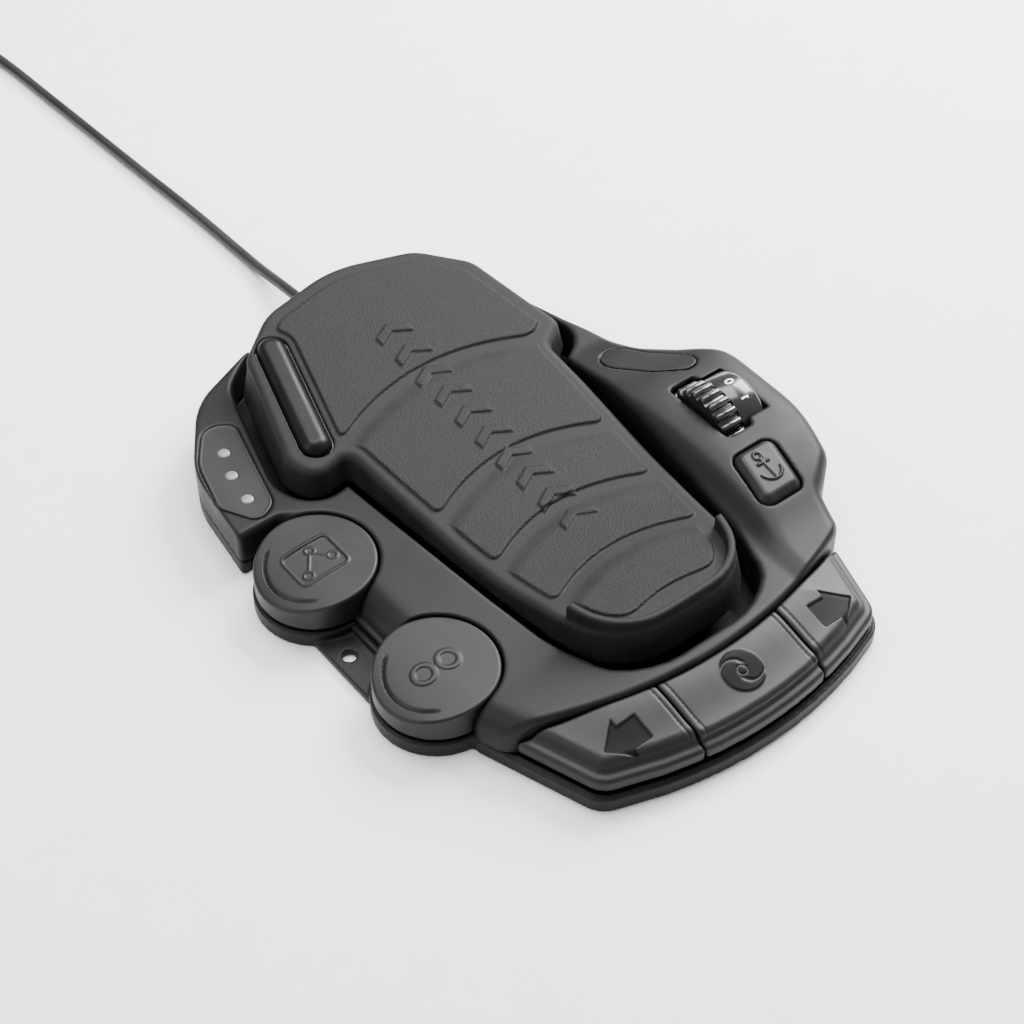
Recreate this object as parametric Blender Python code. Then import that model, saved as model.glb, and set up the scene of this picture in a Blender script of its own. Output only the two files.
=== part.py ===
"""Wired foot pedal of an electric trolling motor, as an assembly of separate pieces.

Frame: metres, +X right of the foot, +Y from heel to toe, +Z up. The origin is on the floor
plane straight below the pedal's rocker axle. Sizes below are millimetres, scaled by MM.
"""
import math

import bmesh
import bpy
from mathutils import Matrix, Vector

MM = 0.001
GAP = 0.3               # between pieces that touch
FLOOR_T = 3.0           # base plate floor
RIM_Z = 8.0             # top of the base plate's rim
WALL = 2.5              # housing wall
MIN_RADIUS = 0.4        # of an outline's corner after it moves
DECK_Z = 25.0           # housing deck beside the pedal
TOE_WALL_Z = 16.0       # low front wall below the pedal's toe

HEEL_Y = -170.0
HEEL_BOW = 394.0        # heel outline is y = HEEL_Y + x^2 / HEEL_BOW
PADS_Y = -134.0
PADS_BOW = 400.0        # line between the deck and the heel buttons
PAD_SPLIT_X = 33.0      # seams between the three heel buttons
PAD_GAP = 0.8
PAD_PRESS_Z = 18.0      # height of the heel buttons' hinge lines

NAV = (-102.0, 12.0)    # round side buttons
CON = (-96.5, -67.5)
FLANGE_R = 28.3
CAP_R = 27.2
CAP_BOTTOM = 10.0
CAP_TOP = 24.5

TAB = (-119.5, -98.0, -50.0, -8.0)
TAB_T = 3.8
TAB_HOLE = (-112.3, -26.0)
TAB_HOLE_R = 3.25

AXLE_Z = 14.0
AXLE_R = 3.0
SKIRT_Z = 19.5          # lower edge of the pedal's skirt
FLARE_Z = 36.0          # height at which the pedal has its drawn outline
FLARE = 0.2             # widening of the skirt per mm of height
COVER_T = 3.0
FRAME_T = 3.0
WELL_GAP = 8.0          # from the pedal's drawn outline to the deck's edge

WHEEL_Y = -32.0
WHEEL_Z = 25.2
WHEEL_R = 21.4
DIAL_R = 19.6
WHEEL_X = (79.0, 90.8)
DIAL_X = (91.0, 104.8)

ANCHOR = (79.0, -77.0)
CABLE_R = 2.75
GLAND_Z = 9.6
GLAND_NECK_R = 4.2
GLAND_X = -2.0
GLAND_END_Y = 166.0
COIL = (-70.0, 500.0)
COIL_MID_R = 38.0
COIL_ROWS = 6           # turns side by side
COIL_LAYERS = 4
COIL_LIFT = 1.4         # the tie's thickness and gap below the coil
PLUG_Z = 8.1


# ---------------------------------------------------------------- outlines

def arc_steps(radius):
    return 2 if radius < 8 else 3 if radius < 24 else 4


def rounded(corners, out=0.0):
    """An outline from corners (x, y) or (x, y, radius), counter-clockwise, moved out by out mm.

    Each side moves straight out, so a convex corner's radius grows and a hollow one's shrinks.
    """
    moved_corners = []
    for i, corner in enumerate(corners):
        here = Vector(corner[:2])
        before = (here - Vector(corners[i - 1][:2])).normalized()
        after = (Vector(corners[(i + 1) % len(corners)][:2]) - here).normalized()
        normal = Vector((before.y + after.y, -before.x - after.x)).normalized()
        bend = before.x * after.y - before.y * after.x
        radius = corner[2] if len(corner) == 3 else 0
        if radius:
            radius = max(radius + out * math.copysign(1, bend), MIN_RADIUS)
        side = Vector((before.y, -before.x))
        steps = arc_steps(corner[2]) if radius else 0
        moved_corners.append((here + normal * out / normal.dot(side), radius, steps))
    outline = []
    for i, (here, radius, steps) in enumerate(moved_corners):
        if not radius:
            outline.append(here)
            continue
        to_last = (moved_corners[i - 1][0] - here).normalized()
        to_next = (moved_corners[(i + 1) % len(corners)][0] - here).normalized()
        half = to_last.angle(to_next) / 2
        centre = here + (to_last + to_next).normalized() * radius / math.sin(half)
        start = here + to_last * radius / math.tan(half) - centre
        end = here + to_next * radius / math.tan(half) - centre
        turn = math.copysign(1, start.x * end.y - start.y * end.x)
        for k in range(steps + 1):
            spin = Matrix.Rotation(turn * (math.pi - 2 * half) * k / steps, 2)
            outline.append(centre + spin @ start)
    return outline


def smooth(points, step=8.0):
    """A Catmull-Rom curve through (u, v) points, read about every step."""
    points = [Vector(p) for p in points]
    ends = [2 * points[0] - points[1]] + points + [2 * points[-1] - points[-2]]
    curve = []
    for a, b, c, d in zip(ends, ends[1:], ends[2:], ends[3:]):
        count = max(1, round((c - b).length / step))
        for k in range(count):
            t = k / count
            curve.append(
                (2 * b + (c - a) * t + (2 * a - 5 * b + 4 * c - d) * t * t
                 + (3 * b - a - 3 * c + d) * t ** 3) / 2
            )
    return curve + [points[-1]]


def circle(centre, radius, sides=32):
    turns = [2 * math.pi * k / sides for k in range(sides)]
    return [Vector((centre[0] + radius * math.cos(t), centre[1] + radius * math.sin(t)))
            for t in turns]


def capsule(start, end, radius, steps=6):
    """A slot outline between two centres."""
    start, end = Vector(start), Vector(end)
    along = (end - start).normalized() * radius
    side = Vector((along.y, -along.x))
    outline = []
    for centre, first in ((end, side), (start, -side)):
        for k in range(steps + 1):
            outline.append(centre + Matrix.Rotation(math.pi * k / steps, 2) @ first)
    return outline


def heel_line(x, y_mid, bow):
    return y_mid + x * x / bow


BODY = (
    [(-79.5, heel_line(79.5, HEEL_Y, HEEL_BOW), 14)]
    + [(x, heel_line(x, HEEL_Y, HEEL_BOW)) for x in (-52, -26, 0, 26, 52)]
    + [(75, heel_line(75, HEEL_Y, HEEL_BOW), 14), (93.5, -97, 10), (110, -84, 16),
       (123.5, -48, 40), (124.5, -8, 24), (105, 12, 14), (95, 27, 20), (81, 67, 20),
       (73, 97, 24), (67, 121, 20), (46, 143, 26), (0, 156.7, 90), (-50, 143, 60),
       (-89.5, 126.5, 40), (-115, 89, 50), (-121, 43, 3), (-99, 43, 3), (-99, -99, 3)]
)

PEDAL = (
    [(-36.5, -115, 30), (36.5, -115, 30), (44.5, -82, 30), (48.5, -50, 60), (55, 20, 60),
     (56.5, 49, 5), (70.5, 58, 7), (60.5, 112, 16), (41, 133, 22), (0, 145.5, 60),
     (-42, 137.5, 30), (-65, 120, 12), (-83, 60, 12), (-78, 46, 8), (-57.5, 50, 6), (-55, 20, 60),
     (-48.5, -50, 60), (-44.5, -82, 30)]
)

PEDAL_TOP = smooth([(-132, 38.5), (-112, 38), (-85, 34.5), (-55, 30.5), (-30, 29.5), (0, 31.5),
                    (56, 36.5), (107, 43), (152, 49)], 14)
DECK_TOP = [(-200, 27.5), (-120, 27), (-90, 25.5), (-60, DECK_Z), (60, DECK_Z), (200, DECK_Z)]
RIDGE_ALONG = smooth([(-140, 25), (-112, 28.5), (-88, 35), (-60, 39), (-30, 39.5), (-8, 38),
                      (10, 33.5), (30, 27), (40, 22)], 10)
RIDGE_ACROSS = smooth([(56, 27), (62, 35), (68, 39.5), (76, 40.5), (98, 40.5), (112, 39),
                       (119.5, 34.5), (123, 27), (125, 16)], 7)
PAD_TOP = smooth([(-176, 9), (-168.5, 12), (-166, 16.5), (-160.5, 21.5), (-151, 25), (-140, 27),
                  (-100, 27.5)], 8)
CAPSULE_ENDS = ((-67, 61), (-52, 117))
CAPSULE_R = 7.0
LED_LEAF = [(-118, 63, 7), (-108, 45, 6), (-97, 51, 9), (-83.5, 103, 6), (-96, 111, 9),
            (-111, 91, 30)]
LEDS = ((-97.5, 90.5), (-102.5, 76.5), (-105, 60))
BLANK_LEAF = rounded([(75.5, 31, 4), (75, 24, 8), (84, 6, 14), (95, -3.5, 4), (101, -3, 2.2),
                      (88.5, 18, 20), (84, 30.5, 5)], 2)


# ---------------------------------------------------------------- solids

def loft(sections):
    """A closed solid through outlines with equal point counts, given as (outline, z)."""
    mesh = bmesh.new()
    rings = []
    for outline, z in sections:
        rings.append([mesh.verts.new((p[0], p[1], z)) for p in outline])
    count = len(rings[0])
    mesh.faces.new(list(reversed(rings[0])))
    mesh.faces.new(rings[-1])
    for low, high in zip(rings, rings[1:]):
        for i in range(count):
            j = (i + 1) % count
            mesh.faces.new((low[i], low[j], high[j], high[i]))
    return mesh


def prism(outline, z_low, z_high):
    return loft([(outline, z_low), (outline, z_high)])


def block(low, high):
    outline = [(low[0], low[1]), (high[0], low[1]), (high[0], high[1]), (low[0], high[1])]
    return prism(outline, low[2], high[2])


def slanted_block(centre, half_size, turn, z_low, z_high):
    """A block turned about Z."""
    spin = Matrix.Rotation(turn, 2)
    signs = ((-1, -1), (1, -1), (1, 1), (-1, 1))
    corners = [Vector((half_size[0] * a, half_size[1] * b)) for a, b in signs]
    return prism([Vector(centre) + spin @ c for c in corners], z_low, z_high)


def along_x(profile, x_low, x_high):
    """A profile of (y, z) points run along X."""
    mesh = prism([Vector(p) for p in profile], x_low, x_high)
    turn = Matrix(((0, 0, 1), (1, 0, 0), (0, 1, 0)))
    bmesh.ops.transform(mesh, matrix=turn.to_4x4(), verts=mesh.verts)
    return mesh


def along_y(profile, y_low, y_high):
    """A profile of (x, z) points run along Y."""
    mesh = prism([Vector(p) for p in profile], -y_high, -y_low)
    turn = Matrix(((1, 0, 0), (0, 0, -1), (0, 1, 0)))
    bmesh.ops.transform(mesh, matrix=turn.to_4x4(), verts=mesh.verts)
    return mesh


def under_curve(curve, drop, floor):
    """The profile between a floor and a curve lowered by drop."""
    top = [Vector((p[0], p[1] - drop)) for p in curve]
    return [Vector((top[0].x, floor)), Vector((top[-1].x, floor))] + top[::-1]


def between_curves(curve, top_drop, bottom_drop):
    top = [Vector((p[0], p[1] - top_drop)) for p in curve]
    bottom = [Vector((p[0], p[1] - bottom_drop)) for p in curve]
    return bottom + top[::-1]


def turned(profile, sides=32):
    """(radius, z) points, from the axis round to the axis, turned about Z."""
    mesh = bmesh.new()
    rings = []
    for radius, z in profile:
        if radius < 1e-6:
            rings.append([mesh.verts.new((0, 0, z))])
        else:
            rings.append([mesh.verts.new((p.x, p.y, z)) for p in circle((0, 0), radius, sides)])
    pairs = list(zip(rings, rings[1:]))
    if len(rings[0]) > 1:
        pairs.append((rings[-1], rings[0]))
    for low, high in pairs:
        for i in range(sides):
            j = (i + 1) % sides
            corners = [low[i % len(low)], low[j % len(low)], high[j % len(high)], high[i % len(high)]]
            face = list(dict.fromkeys(corners))
            if len(face) > 2:
                mesh.faces.new(face)
    bmesh.ops.recalc_face_normals(mesh, faces=mesh.faces)
    return mesh


def moved(mesh, offset, axis="Z"):
    """A mesh made about Z, laid along another axis and moved."""
    if axis == "X":
        bmesh.ops.transform(mesh, matrix=Matrix.Rotation(math.pi / 2, 4, "Y"), verts=mesh.verts)
    if axis == "Y":
        bmesh.ops.transform(mesh, matrix=Matrix.Rotation(-math.pi / 2, 4, "X"), verts=mesh.verts)
    bmesh.ops.translate(mesh, vec=offset, verts=mesh.verts)
    return mesh


def rod(centre, radius, low, high, axis="Z", sides=16):
    """A plain cylinder about an axis through centre, from low to high along it."""
    mesh = prism(circle((0, 0), radius, sides), low, high)
    return moved(mesh, centre, axis)


# ---------------------------------------------------------------- objects

def make(name, mesh, colour=(0.05, 0.05, 0.055), rough=0.5, metal=0.0, origin=(0, 0, 0)):
    """An object from a mesh in mm, its origin at the given point, with its own material."""
    bmesh.ops.translate(mesh, vec=-Vector(origin), verts=mesh.verts)
    bmesh.ops.scale(mesh, vec=(MM, MM, MM), verts=mesh.verts)
    bmesh.ops.recalc_face_normals(mesh, faces=mesh.faces)
    data = bpy.data.meshes.new(name)
    mesh.to_mesh(data)
    mesh.free()
    data.shade_smooth()
    data.set_sharp_from_angle(angle=math.radians(30))
    thing = bpy.data.objects.new(name, data)
    thing.location = Vector(origin) * MM
    bpy.context.scene.collection.objects.link(thing)
    material = bpy.data.materials.new(name)
    material.use_nodes = True
    surface = material.node_tree.nodes["Principled BSDF"]
    surface.inputs["Base Color"].default_value = (*colour, 1)
    surface.inputs["Roughness"].default_value = rough
    surface.inputs["Metallic"].default_value = metal
    data.materials.append(material)
    return thing


def shape(target, operation, *meshes):
    """Boolean steps on an object; each tool is a hidden guide."""
    for mesh in meshes:
        tool = mesh
        if not isinstance(mesh, bpy.types.Object):
            tool = make(f"guide_{target.name}_{len(target.modifiers)}", mesh)
        tool.hide_render = True
        tool.display_type = "WIRE"
        step = target.modifiers.new(operation.lower(), "BOOLEAN")
        step.operation = operation
        step.solver = "EXACT"
        step.object = tool
    return target


def cut(target, *meshes):
    return shape(target, "DIFFERENCE", *meshes)


def weld(target, *meshes):
    return shape(target, "UNION", *meshes)


def keep(target, *meshes):
    return shape(target, "INTERSECT", *meshes)


PLASTIC = dict(colour=(0.045, 0.046, 0.05), rough=0.42)
SOFT = dict(colour=(0.04, 0.041, 0.044), rough=0.7)
GLOSSY = dict(colour=(0.02, 0.02, 0.022), rough=0.2)
INNER = dict(colour=(0.09, 0.09, 0.1), rough=0.55)
STEEL = dict(colour=(0.6, 0.6, 0.62), rough=0.3, metal=1.0)


# ---------------------------------------------------------------- base and housing

def base_plate():
    plate = make("base_plate", prism(rounded(BODY), 0, RIM_Z), **PLASTIC)
    weld(plate, *[rod((*c, 0), FLANGE_R, 0, RIM_Z, sides=36) for c in (NAV, CON)])
    weld(plate, block((TAB[0], TAB[2], 0), (TAB[1], TAB[3], TAB_T)))
    cut(plate, prism(rounded(BODY, -3), FLOOR_T, RIM_Z + 1))
    cut(plate, *[rod((*c, 0), FLANGE_R - 4, FLOOR_T, RIM_Z + 1) for c in (NAV, CON)])
    cut(plate, rod((*TAB_HOLE, 0), TAB_HOLE_R, -1, TAB_T + 1))
    for side in (-1, 1):
        x_near, x_far = sorted((38 * side, 44 * side))
        post = block((x_near, -6, FLOOR_T - 1), (x_far, 6, AXLE_Z + 6))
        weld(plate, post)
    cut(plate, rod((0, 0, AXLE_Z), AXLE_R + GAP, -47, 47, "X"))
    for x_low, x_high in ((73.5, 77.0), (107.0, 109.5)):
        post = block((x_low, WHEEL_Y - 6, FLOOR_T - 1), (x_high, WHEEL_Y + 6, WHEEL_Z + 6))
        weld(plate, post)
    cut(plate, rod((0, WHEEL_Y, WHEEL_Z), 2.5 + GAP, 70, 112, "X"))
    weld(plate, *[rod((x, y, 0), 4, FLOOR_T - 1, 5.7, sides=12) for x, y in BOARD_POSTS])
    weld(plate, *[rod((x, y, 0), 4, FLOOR_T - 1, 14.7, sides=12) for x, y in SIDE_BOARD_POSTS])
    cut(plate, rod((GLAND_X, 0, GLAND_Z), GLAND_NECK_R + GAP, 145, 160, "Y"))
    cut(plate, *[rod((x, y, 0), 1.8, -1, 4, sides=12) for x, y in BASE_SCREWS])
    cut(plate, *[rod((x, y, 0), 3.4, -1, 1.8, sides=12) for x, y in BASE_SCREWS])
    cut(plate, *[rod((x, y, 0), 6 + GAP, -1, 1.3, sides=14) for x, y in FEET])


BOARD_POSTS = ((-36, 22), (36, 22), (-36, 50), (36, 50))
SIDE_BOARD_POSTS = ((70, -94), (92, -84), (84, -63))
BASE_SCREWS = ((-66, -96), (79, -105), (88, 19), (-110.5, 68), (-86, 110), (-74, -30))
FEET = ((-60, -148), (60, -148), (-95, 100), (60, 110), (108, -50))


def ridge(inset, floor):
    """The raised side that holds the wheel, as three outlines meeting."""
    side = make("guide_ridge", prism(rounded(BODY, -inset), floor, 60))
    keep(side, along_x(under_curve(RIDGE_ALONG, inset, floor - 1), 54 + inset, 130))
    keep(side, along_y(under_curve(RIDGE_ACROSS, inset, floor - 1), -140, 41))
    return side


def heel_curve(shift, reach=104):
    """The deck's heel edge, moved in +Y by shift, closed far behind the heel."""
    xs = [reach - 2 * reach * k / 14 for k in range(15)]
    edge = [Vector((x, heel_line(x, PADS_Y, PADS_BOW) + shift)) for x in xs]
    return edge + [Vector((-reach - 20, edge[-1].y)), Vector((-reach - 20, -220)),
                   Vector((reach + 20, -220)), Vector((reach + 20, edge[0].y))]


def housing():
    low = RIM_Z + GAP
    shell = make("housing", prism(rounded(BODY), low, 60), **PLASTIC)
    keep(shell, along_x(under_curve(DECK_TOP, 0, low - 1), -140, 140))
    weld(shell, ridge(0, low))
    cut(shell, prism(heel_curve(0), 0, 70))
    room = make("guide_room", prism(rounded(BODY, -WALL), low - 2, 60))
    keep(room, along_x(under_curve(DECK_TOP, WALL, low - 3), -140, 140))
    weld(room, ridge(WALL, low - 2))
    cut(room, prism(heel_curve(WALL), 0, 70))
    cut(room, prism(well(WELL_GAP + 2.2), 0, 70))
    cut(room, *[rod((*c, 0), CAP_R + 3.2, 0, 70, sides=36) for c in (NAV, CON)])
    bosses = make("guide_bosses", rod((*BASE_SCREWS[0], 0), 4, FLOOR_T + GAP, 70, sides=16))
    weld(bosses, *[rod((*c, 0), 4, FLOOR_T + GAP, 70, sides=16) for c in BASE_SCREWS[1:]])
    cut(room, bosses)
    cut(shell, room)
    cut(shell, prism(well(WELL_GAP), TOE_WALL_Z, 70))
    low_well = make("guide_low_well", prism(well(WELL_GAP), 0, TOE_WALL_Z + 1))
    keep(low_well, prism(rounded(BODY, -WALL), -1, 70))
    cut(shell, low_well)
    cut(shell, *[rod((*c, 0), CAP_R + 1, 0, 70, sides=36) for c in (NAV, CON)])
    roll = [Vector((-100 + 14 * (1 - math.cos(t)), 11 + 14.5 * math.sin(t)))
            for t in (math.pi / 2 * k / 5 for k in range(6))]
    cut(shell, along_y(roll + [Vector((-86, 30)), Vector((-104, 30)), Vector((-104, 11))], -110, 42))
    slot = [(WHEEL_X[0] - 1, WHEEL_Y - 20, 1), (DIAL_X[1] + 1.2, WHEEL_Y - 20, 2),
            (DIAL_X[1] + 1.2, WHEEL_Y + 20, 2), (WHEEL_X[0] - 1, WHEEL_Y + 20, 1)]
    cut(shell, prism(rounded(slot), 30, 70))
    cut(shell, prism(anchor_outline(0.7), 30, 70))
    cut(shell, prism(rounded(LED_LEAF, GAP), DECK_Z - 1.1, 40))
    cut(shell, *[rod((*c, 0), 2.9 + GAP, 15, 40, sides=14) for c in LEDS])
    recess = make("guide_recess", prism(rounded(BLANK_LEAF, GAP), 20, 60))
    keep(recess, along_x(between_curves(RIDGE_ALONG, -9, 1.3), 60, 120))
    cut(shell, recess)
    cut(shell, rod((GLAND_X, 0, GLAND_Z), GLAND_NECK_R + GAP, 145, 160, "Y"))
    cut(shell, *[rod((*c, 0), 1.7, 0, 14, sides=12) for c in BASE_SCREWS])


def well(distance):
    """The pedal's outline moved out, with more room behind the heel."""
    outline = rounded(PEDAL, distance)
    return [Vector((p.x, p.y - 3.5)) if p.y < -100 else p for p in outline]


def anchor_outline(out=0.0):
    """The anchor button's slanted rounded square."""
    corners = ((-14.5, -14.5), (8.5, -14.5), (14.5, 14.5), (-8.5, 14.5))
    return rounded([(ANCHOR[0] + x, ANCHOR[1] + y, 5) for x, y in corners], out)


def panels():
    leds = [rod((*c, 0), 2.9 + GAP, 10, 40, sides=14) for c in LEDS]
    overlay = make("led_panel", prism(rounded(LED_LEAF), DECK_Z - 0.8, DECK_Z + 0.15), **GLOSSY)
    cut(overlay, *leds)
    for name, centre in zip(("led_upper", "led_middle", "led_lower"), LEDS):
        lens = [(0, 19), (2.9, 19), (2.9, DECK_Z), (2.3, DECK_Z + 0.5), (0, DECK_Z + 0.8)]
        make(name, moved(turned(lens, 14), (*centre, 0)), (0.75, 0.75, 0.74), 0.35)
    blank = make("blank_panel", prism(rounded(BLANK_LEAF), 20, 60), **PLASTIC)
    keep(blank, along_x(between_curves(RIDGE_ALONG, -0.15, 1.0), 60, 120))


# ---------------------------------------------------------------- pedal

def pedal_body(inset, z_low):
    low = FLARE * (FLARE_Z - z_low)
    upright = rounded(PEDAL, -inset)
    return loft([(rounded(PEDAL, low - inset), z_low), (upright, FLARE_Z), (upright, 60)])


def capsule_outline(extra):
    return capsule(*CAPSULE_ENDS, CAPSULE_R + extra)


def tread_cover():
    rock = (0, 0, AXLE_Z)
    cover = make("tread_cover", pedal_body(0, SKIRT_Z), origin=rock, **SOFT)
    keep(cover, along_x(under_curve(PEDAL_TOP, 0, 10), -120, 120))
    hollow = make("guide_hollow", pedal_body(COVER_T, SKIRT_Z - 2))
    keep(hollow, along_x(under_curve(PEDAL_TOP, COVER_T, 8), -120, 120))
    cup = make("guide_cup", prism(rounded(PEDAL, -0.6), 32, 41.5))
    cut(cup, prism(rounded(PEDAL, -4.6), 20, 60))
    keep(cup, block((-60, -130, 20), (60, -86, 60)))
    weld(cover, cup)
    cut(cover, hollow)
    cut(cover, prism(capsule_outline(0.6), 20, 60))


def pedal_frame():
    rock = (0, 0, AXLE_Z)
    frame = make("pedal_frame", pedal_body(COVER_T + GAP, 12), origin=rock, **INNER)
    keep(frame, along_x(between_curves(PEDAL_TOP, COVER_T + GAP, COVER_T + GAP + FRAME_T), -120, 120))
    for side in (-1, 1):
        x_near, x_far = sorted((28 * side, 36 * side))
        lug = [Vector((8.5 * math.cos(t), AXLE_Z + 8.5 * math.sin(t)))
               for t in (math.pi * (1 + k / 10) for k in range(11))]
        weld(frame, along_x(lug + [Vector((8.5, 27)), Vector((-8.5, 27))], x_near, x_far))
    cut(frame, rod((0, 0, AXLE_Z), 5 + GAP, -40, 40, "X"))
    leg = Vector(CAPSULE_MID) + ACROSS_CAPSULE * 12.5
    shelf = Vector(CAPSULE_MID) + ACROSS_CAPSULE * 4
    weld(frame, slanted_block(leg, (1.7, 8), CAPSULE_TURN, 17.5, 35.5))
    weld(frame, slanted_block(shelf, (10.5, 9), CAPSULE_TURN, 16.5, 18.8))
    cut(frame, prism(capsule_outline(0.6), 29, 60))


CAPSULE_MID = ((CAPSULE_ENDS[0][0] + CAPSULE_ENDS[1][0]) / 2,
               (CAPSULE_ENDS[0][1] + CAPSULE_ENDS[1][1]) / 2)
CAPSULE_TURN = -math.atan2(CAPSULE_ENDS[1][0] - CAPSULE_ENDS[0][0],
                           CAPSULE_ENDS[1][1] - CAPSULE_ENDS[0][1])
ALONG_CAPSULE = Matrix.Rotation(CAPSULE_TURN, 2) @ Vector((0, 1))
ACROSS_CAPSULE = Matrix.Rotation(CAPSULE_TURN, 2) @ Vector((1, 0))


def momentary_button():
    button = make("momentary_button", prism(capsule_outline(0), 20, 60), origin=(*CAPSULE_MID, 30),
                  **GLOSSY)
    keep(button, along_x(between_curves(PEDAL_TOP, -2.5, 10.2), -100, 0))
    ends = [Vector(CAPSULE_MID) + ALONG_CAPSULE * reach for reach in (-22, 22)]
    lip = make("guide_lip", prism(capsule(*ends, CAPSULE_R + 2), 20, 60))
    keep(lip, along_x(between_curves(PEDAL_TOP, 7.0, 9.2), -100, 0))
    weld(button, lip)
    switch = make("momentary_switch", slanted_block(CAPSULE_MID, (5, 7), CAPSULE_TURN, 19.1, 23.5),
                  **INNER)
    weld(switch, rod((*CAPSULE_MID, 0), 2, 23, 27.2, sides=16))


def rocker():
    axle = [(0, -46), (AXLE_R - 0.5, -46), (AXLE_R, -45.5), (AXLE_R, 45.5), (AXLE_R - 0.5, 46),
            (0, 46)]
    make("rocker_axle", moved(turned(axle, 24), (0, 0, AXLE_Z), "X"), origin=(0, 0, AXLE_Z), **STEEL)
    for name, side in (("axle_bush_left", -1), ("axle_bush_right", 1)):
        bush = [(AXLE_R + GAP, 27.8), (5, 27.8), (5, 36.2), (6.6, 36.2), (6.6, 37.4),
                (AXLE_R + GAP, 37.4)]
        turned_bush = turned([(r, side * z) for r, z in bush], 24)
        make(name, moved(turned_bush, (0, 0, AXLE_Z), "X"), (0.7, 0.68, 0.6), 0.4,
             origin=(0, 0, AXLE_Z))


def spring(name, centre, z_low, z_high, radius, wire, turns):
    """A compression coil, flattened by closed end turns."""
    steps = 9
    count = int(turns * steps)
    data = bpy.data.curves.new(name, "CURVE")
    data.dimensions = "3D"
    data.bevel_depth = wire * MM
    data.bevel_resolution = 0
    data.use_fill_caps = True
    line = data.splines.new("POLY")
    line.points.add(count)
    for k in range(count + 1):
        t = k / count
        angle = 2 * math.pi * turns * t
        z = z_low + wire + (z_high - z_low - 2 * wire) * t
        place = (centre[0] + radius * math.cos(angle), centre[1] + radius * math.sin(angle), z)
        line.points[k].co = (*[v * MM for v in place], 1)
    thing = bpy.data.objects.new(name, data)
    bpy.context.scene.collection.objects.link(thing)
    material = bpy.data.materials.new(name)
    material.use_nodes = True
    surface = material.node_tree.nodes["Principled BSDF"]
    surface.inputs["Base Color"].default_value = (0.6, 0.6, 0.62, 1)
    surface.inputs["Metallic"].default_value = 1
    surface.inputs["Roughness"].default_value = 0.3
    data.materials.append(material)


# ---------------------------------------------------------------- buttons

def round_button(name, centre):
    inner = CAP_R - 2.2
    profile = [(0, CAP_TOP), (22, CAP_TOP), (25.4, CAP_TOP - 1.2), (CAP_R, CAP_TOP - 4.5),
               (CAP_R, CAP_BOTTOM), (inner, CAP_BOTTOM), (inner, CAP_TOP - 5), (21.5, CAP_TOP - 2.4),
               (3.5, CAP_TOP - 2.4), (3.5, 14.5), (0, 14.5)]
    make(f"{name}_button", moved(turned(profile, 36), (*centre, 0)), origin=(*centre, CAP_TOP),
         **PLASTIC)
    switch = make(f"{name}_switch", block((centre[0] - 7, centre[1] - 7, FLOOR_T + GAP),
                                          (centre[0] + 7, centre[1] + 7, 9)), **INNER)
    weld(switch, rod((*centre, 0), 2.2, 8, 12.4, sides=16))
    spring(f"{name}_spring", centre, 9.3, CAP_TOP - 2.7, 5.6, 0.55, 4)


def heel_button(name, x_low, x_high, hinge):
    """One of the three pads across the heel; hinge is a point on its hinge line."""
    button = make(name, prism(rounded(BODY, -2), 11, 40), origin=hinge, **PLASTIC)
    keep(button, along_x(under_curve(PAD_TOP, 0, 5), x_low, x_high))
    back = heel_curve(-PAD_GAP)
    keep(button, prism(back, 0, 70))
    hollow = make(f"guide_hollow_{name}", prism(rounded(BODY, -4.2), 8, 40))
    keep(hollow, along_x(under_curve(PAD_TOP, 2.2, 3), x_low + 2.2, x_high - 2.2))
    keep(hollow, prism(heel_curve(-PAD_GAP - 2.2), 0, 70))
    cut(button, hollow)


def heel_switch_tower(name, x, y, top):
    tower = make(name, block((x - 5, y - 5, FLOOR_T + GAP), (x + 5, y + 5, 12)), **INNER)
    weld(tower, rod((x, y, 0), 2, 11, top, sides=16))


def heel_buttons():
    edge = PAD_SPLIT_X + PAD_GAP / 2
    middle = (0, heel_line(0, PADS_Y, PADS_BOW) - 2, PAD_PRESS_Z)
    side_y = heel_line(62, PADS_Y, PADS_BOW) - 2
    heel_button("left_button", -110, -edge, (-62, side_y, PAD_PRESS_Z))
    heel_button("prop_button", -edge + PAD_GAP, edge - PAD_GAP, middle)
    heel_button("right_button", edge, 110, (62, side_y, PAD_PRESS_Z))
    heel_switch_tower("left_switch", -58, -144, 21.2)
    heel_switch_tower("prop_switch", 0, -151, 20.8)
    heel_switch_tower("right_switch", 58, -144, 21.2)


def anchor_button():
    button = make("anchor_button", prism(anchor_outline(), 29.5, 60), origin=(*ANCHOR, 38), **PLASTIC)
    keep(button, along_x(under_curve(RIDGE_ALONG, -1.6, 20), 60, 100))
    weld(button, prism(anchor_outline(2), 28, 30))
    cut(button, prism(anchor_outline(-2.2), 20, 33.5))
    weld(button, rod((*ANCHOR, 0), 3, 28, 34, sides=16))
    make("side_board", prism(rounded([(64, -99, 3), (91, -93, 3), (99, -82, 3),
                                             (92, -58, 3), (76, -58, 3), (64, -80, 3)]),
                                     15, 16.6), (0.02, 0.12, 0.05), 0.4)
    switch = make("anchor_switch", block((ANCHOR[0] - 5, ANCHOR[1] - 5, 16.9),
                                         (ANCHOR[0] + 5, ANCHOR[1] + 5, 23)), **INNER)
    weld(switch, rod((*ANCHOR, 0), 2, 22, 26, sides=16))


# ---------------------------------------------------------------- speed wheel

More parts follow.
